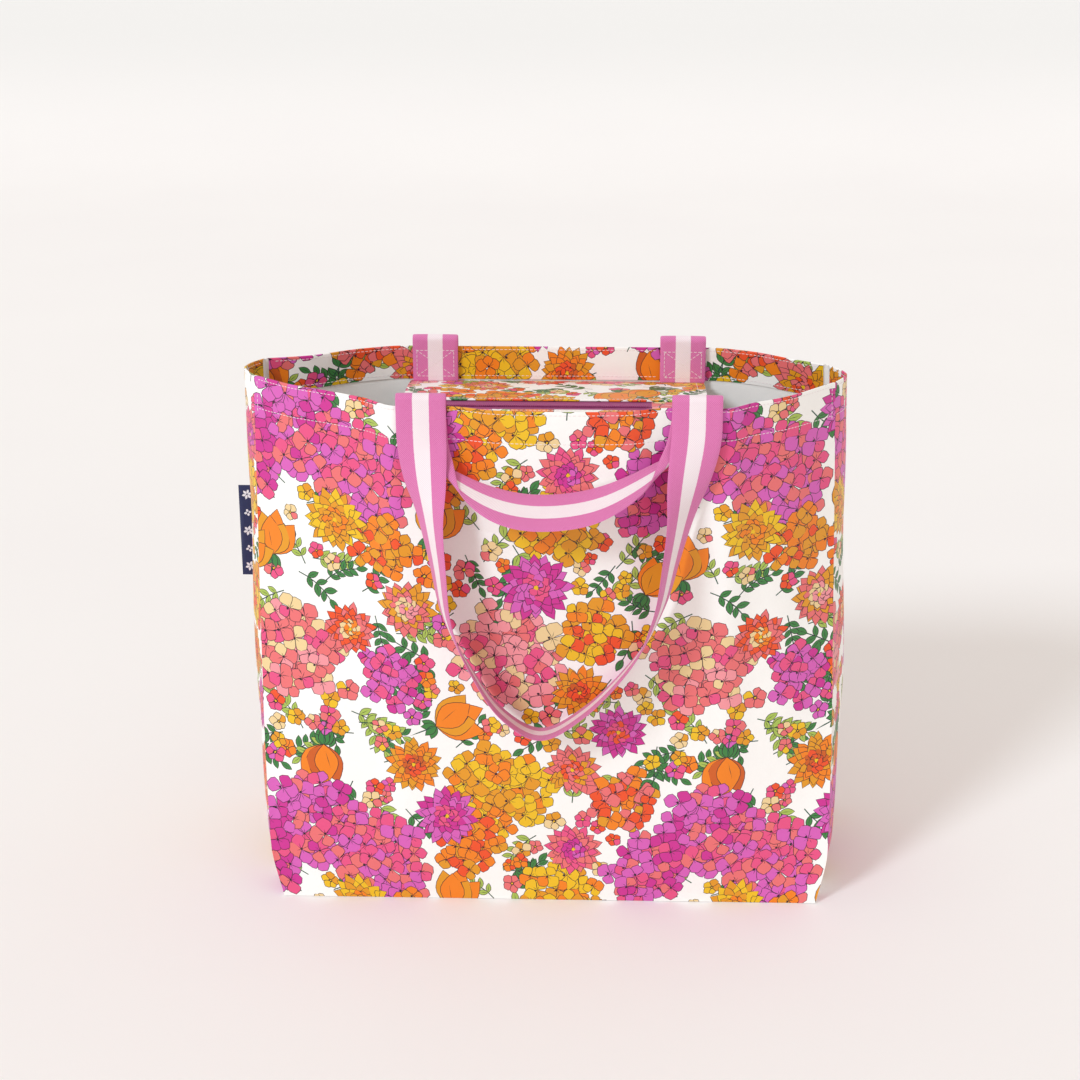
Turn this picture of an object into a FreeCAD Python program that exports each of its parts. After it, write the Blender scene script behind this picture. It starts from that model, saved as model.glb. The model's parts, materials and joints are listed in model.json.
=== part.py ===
"""Foldable tote bag: printed cloth walls, a recessed zip panel and four webbing handles.

The origin is the middle of the base on the floor. The front wall faces -Y, +X is to the
right of someone facing it, and +Z is up. All sizes are in millimetres.
"""
import FreeCAD
import Part
import math
import os

from FreeCAD import Vector

# Bag
rimHeight = 390.0
baseHalfDepth = 90.0
panelThick = 1.0
layerGap = 0.3
bodyGap = 0.4
hemDepth = 27.0
hemThick = 0.8

# Straps
strapWidth = 35.0
strapThick = 1.4
strapAt = {-1: (-91.0, 101.0), 1: (-94.5, 97.5)}  # front and back
strapTabDepth = 26.8
foldLift = 4.6

# Zip panel
zipHeight = 366.0
zipMiddle = -8.0
zipStart = -104.0
zipEnd = 72.0
flapHalfWidth = 114.0
flapThick = 0.8
exposedHalf = 13.0
tapeOverlap = 3.0
tapeGapHalf = 0.9

# The mouth's outline as seen from above, from the left seam to the right one
frontRim = [
    (-221, -14), (-188, -42), (-160, -58), (-134, -75), (-110, -96), (-72, -96), (-40, -106), (0, -109),
    (50, -107), (81, -96), (121, -96), (142, -80), (165, -64), (204, -22),
]
backRim = [(-221, 37), (-190, 46), (-150, 70), (-118, 80), (118, 80), (150, 69), (180, 46), (204, 30)]
# Height against half the width at the corner seams and at the side creases, and against the middle's sway
seamHalf = {
    -1: [(0, 202), (42, 211), (155, 213), (390, 212.5)],
    1: [(0, 202), (42, 211), (200, 221), (390, 212.5)],
}
creaseHalf = [(0, 206), (42, 221), (155, 228), (390, 224)]
sway = [(0, -1.5), (100, -3.5), (390, -8.5)]


def lerp(a, b, t):
    return a + (b - a) * t


def smooth(points, x):
    """Height at x of a smooth line through the points that never overshoots them."""
    xs = [p[0] for p in points]
    ys = [p[1] for p in points]
    x = min(max(x, xs[0]), xs[-1])
    i = max(k for k in range(len(xs) - 1) if xs[k] <= x)
    rise = [(ys[k + 1] - ys[k]) / (xs[k + 1] - xs[k]) for k in range(len(xs) - 1)]

    def slope(k):
        if k in (0, len(rise)):
            return rise[min(k, len(rise) - 1)]
        before, after = rise[k - 1], rise[k]
        return 0.0 if before * after <= 0 else 2 * before * after / (before + after)

    width = xs[i + 1] - xs[i]
    t = (x - xs[i]) / width
    return (
        ys[i] * (1 + 2 * t) * (1 - t) ** 2
        + slope(i) * width * t * (1 - t) ** 2
        + ys[i + 1] * t * t * (3 - 2 * t)
        - slope(i + 1) * width * t * t * (1 - t)
    )


def wallPoint(side, share, z):
    """A point on the outside of the front (side -1) or back (side 1) wall, share of the way to a seam."""
    rim = frontRim if side < 0 else backRim
    rimX = lerp(rim[0][0], rim[-1][0], (share + 1) / 2)
    y = lerp(side * baseHalfDepth, smooth(rim, rimX), z / rimHeight)
    return Vector(smooth(sway, z) + share * smooth(seamHalf[side], z), y, z)


def wallAt(side, x, z):
    """The outside of a wall at x."""
    return wallPoint(side, (x - smooth(sway, z)) / smooth(seamHalf[side], z), z)


def gussetPoint(side, share, z):
    """A point on the outside of a gusset, from its front seam (0) over its crease to its back seam (1)."""
    front = wallPoint(-1, side, z)
    back = wallPoint(1, side, z)
    out = smooth(creaseHalf, z) - (smooth(seamHalf[-1], z) + smooth(seamHalf[1], z)) / 2
    point = front + (back - front) * share
    return point + Vector(side * out * 4 * share * (1 - share), 0, 0)


def normalOf(point, u, v):
    """The unit normal of the surface point(u, v), from its neighbours."""
    h = 1e-3
    along = point(min(u + h, 1), v) - point(max(u - h, 0), v)
    across = point(u, min(v + h, 1)) - point(u, max(v - h, 0))
    normal = along.cross(across)
    return normal / normal.Length


def sheet(point, depth, thick, uSteps=12, vSteps=4):
    """A closed solid sheet whose near face lies depth below point(u, v), along its normal."""
    us = [i / uSteps for i in range(uSteps + 1)]
    vs = [i / vSteps for i in range(vSteps + 1)]
    surfaces = []
    for lower in (depth, depth + thick):
        rows = [[point(u, v) - normalOf(point, u, v) * lower for v in vs] for u in us]
        surface = Part.BSplineSurface()
        surface.interpolate(rows)
        surfaces.append(surface)
    near, far = surfaces
    u0, u1, v0, v1 = near.bounds()
    faces = [near.toShape(), far.toShape()]
    for u in (u0, u1):
        faces.append(Part.makeRuledSurface(near.uIso(u).toShape(), far.uIso(u).toShape()))
    for v in (v0, v1):
        faces.append(Part.makeRuledSurface(near.vIso(v).toShape(), far.vIso(v).toShape()))
    shell = Part.makeShell(faces)
    shell.sewShape()
    solid = Part.makeSolid(Part.Shell(shell.Faces))
    if solid.Volume < 0:
        solid.reverse()
    return solid


def wallSheet(side, x0, x1, z0, z1, depth, thick, uSteps=12, vSteps=4):
    """Part of a wall, between two shares of its width and two heights, depth inside its outer face."""
    def point(u, v):
        return wallPoint(side, lerp(x0, x1, u) * -side, lerp(z0, z1, v))

    return sheet(point, depth, thick, uSteps, vSteps)


def gussetSheet(side, margin, z0, z1, depth, thick, uSteps=6, vSteps=8):
    """Part of a gusset, margin mm clear of its two seams."""
    def point(u, v):
        z = lerp(z0, z1, v)
        deep = wallPoint(1, side, z).y - wallPoint(-1, side, z).y
        share = lerp(margin / deep, 1 - margin / deep, u if side > 0 else 1 - u)
        return gussetPoint(side, share, z)

    return sheet(point, depth, thick, uSteps, vSteps)


def box(x0, x1, y0, y1, z0, z1):
    return Part.makeBox(x1 - x0, y1 - y0, z1 - z0, Vector(x0, y0, z0))


def rounded(solid, radius, direction):
    """The solid with its edges along direction rounded."""
    edges = [e for e in solid.Edges if abs(abs(e.tangentAt(e.FirstParameter).dot(direction)) - 1) < 1e-6]
    return solid.makeFillet(radius, edges)


def group(solids):
    return solids[0] if len(solids) == 1 else Part.makeCompound(solids)


# Cloth body

wallFoot = 0.3
wallSteps = 60
heightSteps = 14
hemBottom = rimHeight - hemDepth
hemTop = rimHeight - 0.2
hemLayer = panelThick + layerGap
hemShare = 0.97
gussetMargin = panelThick + bodyGap


def makePanel(side):
    return wallSheet(side, -1, 1, wallFoot, rimHeight, 0, panelThick, wallSteps, heightSteps)


def makeGusset(side):
    return gussetSheet(side, gussetMargin, wallFoot, rimHeight, 0, panelThick, 6, heightSteps)


def makeBase():
    """A flat plate inside the four walls, with its sides bowed as the gussets are."""
    middle = sway[0][1]
    x = seamHalf[1][0][1] - panelThick - 0.6
    bow = creaseHalf[0][1] - panelThick - 0.6
    y = baseHalfDepth - panelThick - bodyGap
    corners = [Vector(middle + sx * x, sy * y, 0) for sx, sy in ((-1, -1), (1, -1), (1, 1), (-1, 1))]
    edges = [
        Part.makeLine(corners[0], corners[1]),
        Part.Arc(corners[1], Vector(middle + bow, 0, 0), corners[2]).toShape(),
        Part.makeLine(corners[2], corners[3]),
        Part.Arc(corners[3], Vector(middle - bow, 0, 0), corners[0]).toShape(),
    ]
    return Part.Face(Part.Wire(edges)).extrude(Vector(0, 0, panelThick))


def makeHem(side):
    return wallSheet(side, -hemShare, hemShare, hemBottom, hemTop, hemLayer, hemThick, wallSteps, 2)


def makeGussetHem(side):
    return gussetSheet(side, 8.0, hemBottom, hemTop, hemLayer, hemThick, 6, 2)


def makeBinding(side, x):
    """The tape over the seam allowance of one corner seam, inside the bag."""
    shares = (0.935, 0.975) if x * -side > 0 else (-0.975, -0.935)
    return wallSheet(side, shares[0], shares[1], 4.0, hemBottom - 1.0, hemLayer + 0.1, 0.8, 3, heightSteps)


# Zip panel

flapTop = zipHeight + 1.1
tapeTop = zipHeight
tapeThick = 0.8
coilWidth = 2.0
coilHeight = 1.8
flapRoot = hemBottom - 0.5


def makeFlap(side):
    """A strip of the zip panel, from just under the hem of one wall to its fold along the zip."""
    def point(u, v):
        x = lerp(-flapHalfWidth, flapHalfWidth, u)
        wall = wallAt(side, x, flapRoot)
        inner = wall.y - side * (panelThick + 0.8)
        fold = zipMiddle + side * exposedHalf
        t = v if side < 0 else 1 - v
        rise = 1 - (1 - t) ** 2
        return Vector(x, lerp(inner, fold, t), lerp(flapRoot, flapTop, rise))

    return sheet(point, 0, flapThick, 16, 4)


def makeTape(side):
    near = zipMiddle + side * tapeGapHalf
    far = zipMiddle + side * (exposedHalf + tapeOverlap)
    return box(zipStart - 6, zipEnd + 10, min(near, far), max(near, far), tapeTop - tapeThick, tapeTop)


def makeCoil(side):
    near = zipMiddle + side * tapeGapHalf
    far = near + side * coilWidth
    bar = box(zipStart + 16, zipEnd - 0.5, min(near, far), max(near, far), tapeTop, tapeTop + coilHeight)
    return rounded(bar, 0.6, Vector(1, 0, 0))


def makeEndTab(x0, x1):
    """The folded cloth tab that closes the panel past one end of the zip."""
    y0 = zipMiddle - exposedHalf + 0.3
    y1 = zipMiddle + exposedHalf - 0.3
    return rounded(box(x0, x1, y0, y1, tapeTop + 0.1, tapeTop + 1.1), 0.8, Vector(0, 0, 1))


def makeStops():
    """The metal stop across the tapes at each end of the teeth."""
    y0 = zipMiddle - tapeGapHalf - coilWidth
    y1 = zipMiddle + tapeGapHalf + coilWidth
    bars = [box(x, x + 2.4, y0, y1, tapeTop - 2.0, tapeTop - 0.9) for x in (zipStart + 1.0, zipEnd + 3.0)]
    return group([rounded(bar, 0.3, Vector(0, 0, 1)) for bar in bars])


# Slider, over the closed end of the zip

sliderAt = -94.0
sliderHalfLength = 6.0
sliderHalfWidth = 5.0
plateThick = 1.2
plateBottom = tapeTop + coilHeight + 0.4
lugHalfWidth = 1.2
pinHeight = plateBottom + plateThick + 1.6
pinRadius = 0.6


def sliderPlate(z):
    """One shield-shaped plate, wider where the two rows part."""
    x0, x1 = sliderAt - sliderHalfLength, sliderAt + sliderHalfLength
    narrow = sliderHalfWidth - 1.0
    y = zipMiddle
    corners = [(x0, -sliderHalfWidth), (x1, -narrow), (x1, narrow), (x0, sliderHalfWidth)]
    wire = Part.makePolygon([Vector(px, y + py, z) for px, py in corners + corners[:1]])
    plate = Part.Face(wire).extrude(Vector(0, 0, plateThick))
    return rounded(plate, 1.2, Vector(0, 0, 1))


def makeSlider():
    """Two plates joined by a neck that passes between the rows, with side lips and a lug for the puller."""
    lower = sliderPlate(tapeTop - tapeThick - 0.4 - plateThick)
    upper = sliderPlate(plateBottom)
    bottom = lower.BoundBox.ZMin
    neck = box(sliderAt - 5, sliderAt - 1, zipMiddle - 0.5, zipMiddle + 0.5, bottom + 0.5, plateBottom + 0.5)
    solid = upper.fuse(lower).fuse(neck)
    for side in (-1, 1):
        y = zipMiddle + side * (sliderHalfWidth - 1.5)
        lip = box(sliderAt - 5, sliderAt + 5, y - 0.3, y + 0.3, tapeTop + 0.4, plateBottom + 0.5)
        solid = solid.fuse(lip)
    top = plateBottom + plateThick
    y0, y1 = zipMiddle - lugHalfWidth, zipMiddle + lugHalfWidth
    lug = box(sliderAt - 3.5, sliderAt + 3.5, y0, y1, top - 0.2, top + 3.2)
    start = Vector(sliderAt, zipMiddle - 2 * lugHalfWidth, pinHeight)
    hole = Part.makeCylinder(pinRadius + 0.35, 4 * lugHalfWidth, start, Vector(0, 1, 0))
    return solid.fuse(rounded(lug, 1.4, Vector(0, 1, 0))).cut(hole).removeSplitter()


def makePuller():
    """A flat tongue with an eye, hung on a pin through the slider's lug, lying towards -X."""
    reach = 24.0
    halfWidth = 3.2
    armInner = lugHalfWidth + 0.3
    z0, z1 = pinHeight - 0.6, pinHeight + 0.6
    tongue = box(sliderAt - reach, sliderAt - 4.2, zipMiddle - halfWidth, zipMiddle + halfWidth, z0, z1)
    tongue = rounded(tongue, 2.6, Vector(0, 0, 1))
    eye = Part.makeCylinder(1.5, 4, Vector(sliderAt - reach + 5, zipMiddle, z0 - 1))
    solid = tongue.cut(eye)
    for side in (-1, 1):
        inner = zipMiddle + side * armInner
        outer = zipMiddle + side * (halfWidth - 0.2)
        arm = box(sliderAt - 6, sliderAt + 0.6, min(inner, outer), max(inner, outer), z0, z1)
        solid = solid.fuse(arm)
    start = Vector(sliderAt, zipMiddle - armInner - 0.5, pinHeight)
    pin = Part.makeCylinder(pinRadius, 2 * armInner + 1, start, Vector(0, 1, 0))
    return solid.fuse(pin).removeSplitter()


# Straps: the long one is the outer of each pair, and the short one folds inside it

foldHeight = rimHeight + foldLift
tabGap = 0.8
foldOffset = 0.5 * (hemLayer + hemThick + tabGap - bodyGap)
shortRadius = 0.5 * (hemLayer + hemThick + tabGap + bodyGap + strapThick)
longRadius = shortRadius + strapThick + 0.2


def foldMiddle(side):
    """Where the strap folds turn over the rim: the swing axis of that wall's handles."""
    return wallAt(side, strapAt[side][0], rimHeight).y - side * foldOffset


def makeStrapEnds(side, radius):
    """Two strap ends: flat inside the hem, up past the rim, and over it to the outside."""
    middle = foldMiddle(side)
    low = rimHeight - strapTabDepth
    inside = -side

    def arch(r):
        """The line of one face of the strap, at radius r from the fold's middle."""
        a = Vector(0, middle + inside * r, foldHeight)
        top = Vector(0, middle, foldHeight + r)
        b = Vector(0, middle - inside * r, foldHeight)
        return a, top, b

    ends = []
    for x in strapAt[side]:
        a0, top0, b0 = arch(radius - strapThick / 2)
        a1, top1, b1 = arch(radius + strapThick / 2)
        drop = Vector(0, 0, low - foldHeight)
        wire = Part.Wire([
            Part.makeLine(a0 + drop, a0),
            Part.Arc(a0, top0, b0).toShape(),
            Part.makeLine(b0, b1),
            Part.Arc(b1, top1, a1).toShape(),
            Part.makeLine(a1, a1 + drop),
            Part.makeLine(a1 + drop, a0 + drop),
        ])
        face = Part.Face(wire)
        face.translate(Vector(x - strapWidth / 2, 0, 0))
        ends.append(face.extrude(Vector(strapWidth, 0, 0)))
    return group(ends)


def spline(points, t):
    """A smooth curve through the points, passed at t = 0, 1, 2 and so on."""
    n = len(points) - 1
    i = min(int(t), n - 1)
    s = t - i
    p1, p2 = points[i], points[i + 1]
    p0 = points[i - 1] if i > 0 else p1 * 2 - p2
    p3 = points[i + 2] if i + 2 <= n else p2 * 2 - p1
    return (
        p1 * 2
        + (p2 - p0) * s
        + (p0 * 2 - p1 * 5 + p2 * 4 - p3) * (s * s)
        + (p1 * 3 - p0 - p2 * 3 + p3) * (s * s * s)
    ) * 0.5


def makeLoop(side, stations, steps):
    """A hanging strap. Each station is the middle's x, stand-off and height, and the way its width points."""
    rim = side * wallAt(side, 0, rimHeight).y
    shift = strapAt[side][0] - strapAt[-1][0]
    middles = []
    for x, out, z, w in stations:
        flare = max(0, side * wallAt(side, 0, z).y - rim)  # the wall spreads towards the base
        middles.append(Vector(x + shift, foldMiddle(side) + side * (out + flare), z))
    widths = [Vector(w[0], side * w[1], w[2]) for x, out, z, w in stations]
    last = len(stations) - 1

    def point(u, v):
        across = spline(widths, u * last)
        across.normalize()
        return spline(middles, u * last) + across * ((v - 0.5) * strapWidth)

    return sheet(point, -strapThick / 2, strapThick, steps, 2)


longRoot = foldHeight - 4.0
shortRoot = foldHeight - 4.9

# Both loops hang a little unevenly and turn on their way down. In a width, +y points away from the wall.
# The first and last stations stand at the strap ends, and the others are measured from the front wall's.
longStations = [
    (-91, longRadius, longRoot, (1, 0, 0)),
    (-90.5, longRadius + 3.2, 368, (1, 0.06, 0)),
    (-88.5, longRadius + 10, 342, (0.9, 0.42, 0)),
    (-85, longRadius + 14, 313, (0.6, 0.8, 0)),
    (-80, longRadius + 17, 275, (0.4, 0.92, 0)),
    (-73, longRadius + 18, 237, (0.27, 0.96, 0.05)),
    (-59, longRadius + 18, 203, (0.15, 0.98, 0.1)),
    (-36, longRadius + 18, 168, (0.05, 0.98, 0.15)),
    (-7, longRadius + 18, 150, (0, 0.98, 0.17)),
    (24, longRadius + 18, 168, (-0.05, 0.98, 0.15)),
    (60, longRadius + 18, 209, (-0.15, 0.98, 0.1)),
    (75.5, longRadius + 18, 244, (-0.27, 0.96, 0.05)),
    (84.5, longRadius + 17, 280, (-0.4, 0.92, 0)),
    (91, longRadius + 14, 314, (-0.6, 0.8, 0)),
    (96.5, longRadius + 10, 343, (-0.9, 0.42, 0)),
    (100.5, longRadius + 3.2, 368, (-1, 0.06, 0)),
    (101, longRadius, longRoot, (-1, 0, 0)),
]
shortStations = [
    (-91, shortRadius, shortRoot, (1, 0, 0)),
    (-90.5, shortRadius + 0.5, 377, (1, 0.01, -0.04)),
    (-87, shortRadius + 2.5, 361, (0.96, 0.16, -0.22)),
    (-70, shortRadius + 15, 342, (0.52, 0.68, -0.5)),
    (-40, shortRadius + 27, 328, (0.15, 0.86, -0.5)),
    (-6, shortRadius + 30, 323, (0, 0.88, -0.48)),
    (34, shortRadius + 28, 329, (-0.1, 0.87, -0.5)),
    (72, shortRadius + 17, 347, (-0.45, 0.72, -0.5)),
    (94, shortRadius + 3, 364, (-0.95, 0.17, -0.24)),
    (100, shortRadius + 0.5, 379, (-1, 0.01, -0.04)),
    (101, shortRadius, shortRoot, (-1, 0, 0)),
]


def makeBoxStitch(side):
    """Thread on each pair of strap ends: a square with its two diagonals."""
    thread = 0.5
    half = strapWidth / 2 - 3.0
    low = rimHeight - 23.5
    high = rimHeight - 2.5
    face = foldMiddle(side) - side * (longRadius + strapThick / 2 + 0.05)
    squares = []
    for x in strapAt[side]:
        corners = [Vector(x + sx * half, 0, z) for sx, z in ((-1, low), (1, low), (1, high), (-1, high))]
        lines = [(0, 1), (1, 2), (2, 3), (3, 0), (0, 2), (1, 3)]
        square = None
        for a, b in lines:
            start, end = corners[a], corners[b]
            along = (end - start)
            bar = Part.makeBox(along.Length + thread, thread, thread, Vector(-thread / 2, 0, -thread / 2))
            bar.rotate(Vector(0, 0, 0), Vector(0, 1, 0), -math.degrees(math.atan2(along.z, along.x)))
            bar.translate(start)
            square = bar if square is None else square.fuse(bar)
        y = face if side < 0 else face - thread
        square.translate(Vector(0, y, 0))
        squares.append(square.removeSplitter())
    return group(squares)


def makeLabel():
    """A folded woven label caught in the rear seam of the left gusset."""
    low, high, reach = 207.0, 282.0, 24.0
    seam = wallPoint(1, -1, (low + high) / 2)
    plate = box(seam.x - reach, seam.x - 2.0, seam.y - 0.6, seam.y + 0.6, low, high)
    return rounded(plate, 0.5, Vector(0, 0, 1))


parts = {
    "front_panel": makePanel(-1),
    "back_panel": makePanel(1),
    "base_panel": makeBase(),
    "gusset_left": makeGusset(-1),
    "gusset_right": makeGusset(1),
    "hem_front": makeHem(-1),
    "hem_back": makeHem(1),
    "hem_left": makeGussetHem(-1),
    "hem_right": makeGussetHem(1),
    "zip_flap_front": makeFlap(-1),
    "zip_flap_back": makeFlap(1),
    "zip_tape_front": makeTape(-1),
    "zip_tape_back": makeTape(1),
    "zip_coil_front": makeCoil(-1),
    "zip_coil_back": makeCoil(1),
    "zip_slider": makeSlider(),
    "zip_puller": makePuller(),
    "zip_end_tab_left": makeEndTab(-flapHalfWidth, zipStart),
    "zip_end_tab_right": makeEndTab(zipEnd, flapHalfWidth),
    "zip_stops": makeStops(),
    "side_label": makeLabel(),
}
for side, name in ((-1, "front"), (1, "back")):
    parts["strap_ends_long_" + name] = makeStrapEnds(side, longRadius)
    parts["strap_ends_short_" + name] = makeStrapEnds(side, shortRadius)
    parts["long_handle_" + name] = makeLoop(side, longStations, 42)
    parts["short_handle_" + name] = makeLoop(side, shortStations, 30)
    parts["box_stitch_" + name] = makeBoxStitch(side)
    parts["seam_binding_" + name + "_left"] = makeBinding(side, -1)
    parts["seam_binding_" + name + "_right"] = makeBinding(side, 1)

os.makedirs("parts", exist_ok=True)
for name, shape in parts.items():
    if not shape.isValid() or shape.Volume <= 0:
        raise ValueError(name + " is not a sound solid")
    shape.exportStep("parts/" + name + ".step")
    print(name, len(shape.Solids), round(shape.Volume), "mm3")
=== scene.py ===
import json
import math
import bmesh
import bpy
import numpy as np
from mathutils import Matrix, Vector
from mathutils.bvhtree import BVHTree
from mathutils.geometry import delaunay_2d_cdt


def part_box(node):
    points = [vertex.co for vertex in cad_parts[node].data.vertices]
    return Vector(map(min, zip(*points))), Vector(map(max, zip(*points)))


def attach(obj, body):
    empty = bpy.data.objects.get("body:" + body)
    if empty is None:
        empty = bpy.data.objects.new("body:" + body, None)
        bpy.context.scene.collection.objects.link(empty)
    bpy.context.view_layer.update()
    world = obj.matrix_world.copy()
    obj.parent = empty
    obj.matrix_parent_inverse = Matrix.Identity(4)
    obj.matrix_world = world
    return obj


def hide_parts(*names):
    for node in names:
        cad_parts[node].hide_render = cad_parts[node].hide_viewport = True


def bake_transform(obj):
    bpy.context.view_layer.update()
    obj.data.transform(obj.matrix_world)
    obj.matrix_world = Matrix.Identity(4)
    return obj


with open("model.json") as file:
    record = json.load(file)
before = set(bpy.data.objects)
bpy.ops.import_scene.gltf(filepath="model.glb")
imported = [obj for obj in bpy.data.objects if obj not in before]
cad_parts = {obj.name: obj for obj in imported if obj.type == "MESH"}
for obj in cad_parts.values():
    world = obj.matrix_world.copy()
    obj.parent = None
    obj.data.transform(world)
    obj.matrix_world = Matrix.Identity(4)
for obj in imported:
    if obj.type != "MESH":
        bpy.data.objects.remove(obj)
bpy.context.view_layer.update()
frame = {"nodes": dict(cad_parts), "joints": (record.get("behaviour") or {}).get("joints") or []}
print("frame loaded")

# All shapes are worked out in millimetres, as the bag's maker would, and become metres in makeMesh.
bag = {
    "height": 390.0,
    "halfDepth": 90.0,
    "halfWidth": 212.5,
    "hem": 27.0,
    "cloth": 0.7,
    "foldRadius": 0.85,
    "frontRim": [(-221, -14), (-188, -42), (-160, -58), (-134, -75), (-110, -96), (-72, -96), (-40, -106), (0, -109),
                 (50, -107), (81, -96), (121, -96), (142, -80), (165, -64), (204, -22)],
    "backRim": [(-221, 37), (-190, 46), (-150, 70), (-118, 80), (118, 80), (150, 69), (180, 46), (204, 30)],
    "seams": {-1: [(0, 202), (42, 211), (155, 213), (390, 212.5)], 1: [(0, 202), (42, 211), (200, 221), (390, 212.5)]},
    "creases": [(0, 206), (42, 221), (155, 228), (390, 224)],
    "sway": [(0, -1.5), (100, -3.5), (390, -8.5)],
}


def unit(v):
    return v / (np.linalg.norm(v, axis=-1, keepdims=True) + 1e-12)


def lerp(a, b, t):
    return a + (b - a) * t


def ease(t):  # 0 to 1 with level ends
    t = np.clip(t, 0, 1)
    return t * t * (3 - 2 * t)


def smoothLine(points, x):  # cubic pieces through the points; a slope is the harmonic mean of the rises beside it, or 0 at a turn
    px, py = np.array(points, float).T
    rise = np.diff(py) / np.diff(px)
    product = rise[1:] * rise[:-1]
    total = rise[1:] + rise[:-1]
    middle = np.where(product > 0, 2 * product / np.where(product > 0, total, 1), 0)
    slope = np.concatenate([rise[:1], middle, rise[-1:]])
    x = np.clip(x, px[0], px[-1])
    i = np.clip(np.searchsorted(px, x, side="right") - 1, 0, len(px) - 2)
    w = px[i + 1] - px[i]
    t = (x - px[i]) / w
    return (py[i] * (1 + 2 * t) * (1 - t) ** 2 + slope[i] * w * t * (1 - t) ** 2
            + py[i + 1] * t * t * (3 - 2 * t) - slope[i + 1] * w * t * t * (1 - t))


def makeMesh(name, points, faces, material, colours=None, uv=None, sharp=40):
    # points in millimetres and faces become an object; colours are one for each face, uv one for each face corner
    mesh = bpy.data.meshes.new(name)
    faces = faces.tolist() if isinstance(faces, np.ndarray) else faces
    mesh.from_pydata((np.asarray(points) * 0.001).tolist(), [], faces)
    mesh.shade_smooth()
    mesh.set_sharp_from_angle(angle=math.radians(sharp))
    if colours is not None:
        layer = mesh.color_attributes.new("print", "BYTE_COLOR", "CORNER")
        sizes = np.array([len(f) for f in faces])
        rows = np.repeat(np.asarray(colours, float), sizes, axis=0)
        layer.data.foreach_set("color_srgb", np.c_[rows, np.ones(len(rows))].astype(np.float32).ravel())
    if uv is not None:
        mesh.uv_layers.new(name="weave").data.foreach_set("uv", np.asarray(uv, np.float32).ravel())
    mesh.materials.append(material)
    obj = bpy.data.objects.new(name, mesh)
    bpy.context.scene.collection.objects.link(obj)
    return obj


def grid(rows, columns, closeAcross=False):  # quads of a grid of rows by columns of points, joined round across if asked
    i = np.arange(rows - 1)[:, None]
    j = np.arange(columns if closeAcross else columns - 1)[None]
    k = (j + 1) % columns
    return np.stack([i * columns + j, i * columns + k, (i + 1) * columns + k, (i + 1) * columns + j], -1).reshape(-1, 4)


def along(path, profile, width, normal):
    # a profile carried along a path: point = path + width * across + normal * up, with both ends closed
    ring = path[:, None] + width[:, None] * profile[None, :, :1] + normal[:, None] * profile[None, :, 1:]
    n, m = ring.shape[:2]
    faces = grid(n, m, True)
    ends = [list(range(m))[::-1], list(range((n - 1) * m, n * m))]
    return ring.reshape(-1, 3), faces.tolist() + ends


class Flow:  # a node's output that can be written in sums
    def __init__(self, tree, socket):
        self.tree, self.socket = tree, socket

    def maths(self, kind, *others):
        return self.tree.node("Math", {"operation": kind}, {i: v for i, v in enumerate((self,) + others)})

    def __add__(self, other): return self.maths("ADD", other)
    def __radd__(self, other): return self.maths("ADD", other)
    def __sub__(self, other): return self.maths("SUBTRACT", other)
    def __rsub__(self, other): return self.tree.node("Math", {"operation": "SUBTRACT"}, {0: other, 1: self})
    def __mul__(self, other): return self.maths("MULTIPLY", other)
    def __rmul__(self, other): return self.maths("MULTIPLY", other)
    def __truediv__(self, other): return self.maths("DIVIDE", other)
    def sine(self): return self.maths("SINE")
    def size(self): return self.maths("ABSOLUTE")
    def over(self, low, high): return self.tree.node("MapRange", {"interpolation_type": "SMOOTHSTEP"}, {0: self, 1: low, 2: high})


class Finish:  # a material, its shader and the nodes that feed it
    def __init__(self, name, **sockets):
        self.material = bpy.data.materials.new(name)
        self.material.use_nodes = True
        self.nodes = self.material.node_tree.nodes
        self.links = self.material.node_tree.links
        self.shader = self.nodes["Principled BSDF"]
        for socket, value in sockets.items():
            self.put(self.shader.inputs[socket.replace("_", " ")], value)

    def put(self, socket, value):
        if isinstance(value, Flow):
            self.links.new(value.socket, socket)
        else:
            socket.default_value = value

    def node(self, kind, settings, inputs, output=0):
        made = self.nodes.new("ShaderNode" + kind)
        for key, value in settings.items():
            setattr(made, key, value)
        for key, value in inputs.items():
            self.put(made.inputs[key], value)
        return Flow(self, made.outputs[output])

    def feed(self, **sockets):
        for socket, value in sockets.items():
            self.put(self.shader.inputs[socket.replace("_", " ")], value)

    def object(self, scale=(1000, 1000, 1000)):  # the piece's own coordinates, in millimetres
        place = self.node("TexCoord", {}, {}, 3)
        return self.node("VectorMath", {"operation": "MULTIPLY"}, {0: place, 1: scale})

    def uvParts(self):  # the weave map's two directions
        both = self.node("UVMap", {"uv_map": "weave"}, {})
        split = self.node("SeparateXYZ", {}, {0: both})
        return split, Flow(self, split.socket.node.outputs[1])

    def noise(self, vector, scale, detail=2.0, rough=0.5):
        return self.node("TexNoise", {}, {"Vector": vector, "Scale": scale, "Detail": detail, "Roughness": rough})

    def mix(self, share, a, b, kind="MIX"):
        return self.node("Mix", {"data_type": "RGBA", "blend_type": kind}, {0: share, 6: a, 7: b}, 2)

    def bump(self, height, strength, distance, normal=None):
        inputs = {"Height": height, "Strength": strength, "Distance": distance}
        if normal:
            inputs["Normal"] = normal
        return self.node("Bump", {}, inputs)


def colour(red, green, blue):  # the everyday 0 to 255 numbers of a colour, as light
    c = np.array([red, green, blue]) / 255
    c = np.where(c <= 0.04045, c / 12.92, ((c + 0.055) / 1.055) ** 2.4)
    return (*c.tolist(), 1.0)


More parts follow.
